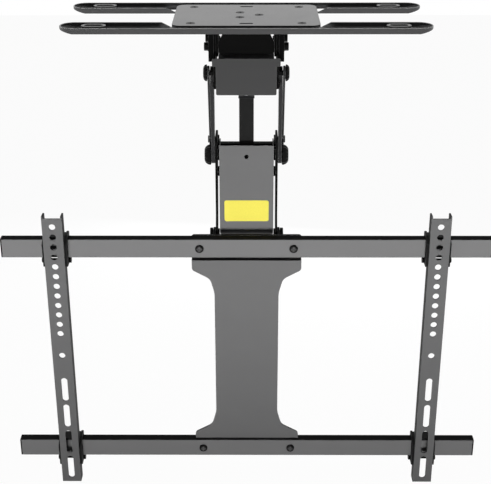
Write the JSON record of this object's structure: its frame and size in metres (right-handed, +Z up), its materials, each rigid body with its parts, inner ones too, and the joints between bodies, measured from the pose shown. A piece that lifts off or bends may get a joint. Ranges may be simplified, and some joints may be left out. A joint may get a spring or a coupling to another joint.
{
  "type": "motorized tv ceiling mount",
  "caption": "Motorized flip-down ceiling mount: rails and plate above, linked swing arms with a linear actuator, and a tube frame with sliding slotted arms for a flat screen.",
  "frame": {"origin": "centre of the ceiling plate's top face, so that the mount hangs below zero", "axes": "+Z up to the ceiling, -Y towards the viewer and the screen's front, +X to the viewer's right"},
  "size_m": [0.684, 0.1675, 0.69],
  "materials": {
    "plate_paint": "black powder coat",
    "rail_paint": "black powder coat",
    "frame_paint": "black powder coat",
    "hanger_paint": "black powder coat",
    "arm_paint": "black powder coat",
    "tube_paint": "black powder coat",
    "screen_arm_paint": "black powder coat",
    "dark_fastener": "blackened",
    "pivot_steel": "blackened",
    "bush_bronze": "oiled",
    "box_plastic": "fine texture",
    "motor_metal": "black coat",
    "wiper_plastic": "smooth",
    "rod_chrome": "polished",
    "label_film": "printed film, bare"
  },
  "bodies": {
    "ceiling": {"ceiling_plate": "plate_paint", "front_rail": "rail_paint", "rear_rail": "rail_paint", "rail_screws": "dark_fastener", "saddle_bracket": "hanger_paint", "saddle_screws": "dark_fastener", "control_box": "box_plastic", "power_inlet": "box_plastic", "left_cheek": "hanger_paint", "right_cheek": "hanger_paint", "left_cheek_guard": "hanger_paint", "right_cheek_guard": "hanger_paint", "cheek_bolts": "dark_fastener", "front_skirt": "frame_paint", "skirt_screws": "dark_fastener", "swing_pins": "pivot_steel", "link_top_pins": "pivot_steel", "rod_pin": "pivot_steel"},
    "swing_arms": {"left_swing_arm": "arm_paint", "right_swing_arm": "arm_paint", "swing_bushes": "bush_bronze"},
    "timing_links": {"left_timing_link": "arm_paint", "right_timing_link": "arm_paint"},
    "mast": {"left_mast_plate": "hanger_paint", "right_mast_plate": "hanger_paint", "elbow_pins": "pivot_steel", "elbow_caps": "pivot_steel", "link_foot_pins": "pivot_steel", "mast_brace": "hanger_paint", "mast_cover": "frame_paint", "cover_label": "label_film", "cover_spacers": "pivot_steel", "actuator_pin": "pivot_steel", "tilt_pins": "dark_fastener"},
    "actuator": {"gear_housing": "motor_metal", "drive_motor": "motor_metal", "actuator_tube": "motor_metal", "tube_collar": "wiper_plastic"},
    "rod": {"actuator_rod": "rod_chrome", "rod_eye": "rod_chrome"},
    "head": {"tilt_bracket": "hanger_paint", "spine_plate": "frame_paint", "spine_screws": "dark_fastener", "upper_tube": "tube_paint", "lower_tube": "tube_paint", "tube_end_caps": "box_plastic"},
    "left_screen_arm": {"left_vesa_arm": "screen_arm_paint", "left_upper_clamp": "screen_arm_paint", "left_lower_clamp": "screen_arm_paint", "left_clamp_screws": "dark_fastener"},
    "right_screen_arm": {"right_vesa_arm": "screen_arm_paint", "right_upper_clamp": "screen_arm_paint", "right_lower_clamp": "screen_arm_paint", "right_clamp_screws": "dark_fastener"}
  },
  "joints": [
    {"name": "arm_swing", "type": "hinge", "parent": "ceiling", "child": "swing_arms", "pos_m": [0, -0.02, -0.074], "axis": [1, 0, 0], "range_deg": [0, 75]},
    {"name": "mast_turn", "type": "hinge", "parent": "swing_arms", "child": "mast", "pos_m": [0, -0.02, -0.19], "axis": [1, 0, 0], "range_deg": [0, 15.1]},
    {"name": "link_swing", "type": "hinge", "parent": "ceiling", "child": "timing_links", "pos_m": [0, -0.033, -0.0704], "axis": [1, 0, 0], "range_deg": [0, 66.5]},
    {"name": "actuator_swing", "type": "hinge", "parent": "mast", "child": "actuator", "pos_m": [0, -0.018, -0.215], "axis": [1, 0, 0], "range_deg": [-8.8, 0]},
    {"name": "rod_slide", "type": "slide", "parent": "actuator", "child": "rod", "axis": [0, 0.118, 0.993], "range_m": [-0.0241, 0]},
    {"name": "head_tilt", "type": "hinge", "parent": "mast", "child": "head", "pos_m": [0, -0.036, -0.302], "axis": [1, 0, 0], "range_deg": [-5, 5]},
    {"name": "left_arm_slide", "type": "slide", "parent": "head", "child": "left_screen_arm", "axis": [1, 0, 0], "range_m": [-0.035, 0.165]},
    {"name": "right_arm_slide", "type": "slide", "parent": "head", "child": "right_screen_arm", "axis": [-1, 0, 0], "range_m": [-0.035, 0.165]}
  ],
  "couplings": [
    {"joint": "mast_turn", "follows": "arm_swing", "ratio": 0.2},
    {"joint": "link_swing", "follows": "arm_swing", "ratio": 0.8851},
    {"joint": "actuator_swing", "follows": "arm_swing", "ratio": -0.116},
    {"joint": "rod_slide", "follows": "arm_swing", "m_per_rad": -0.018335}
  ]
}
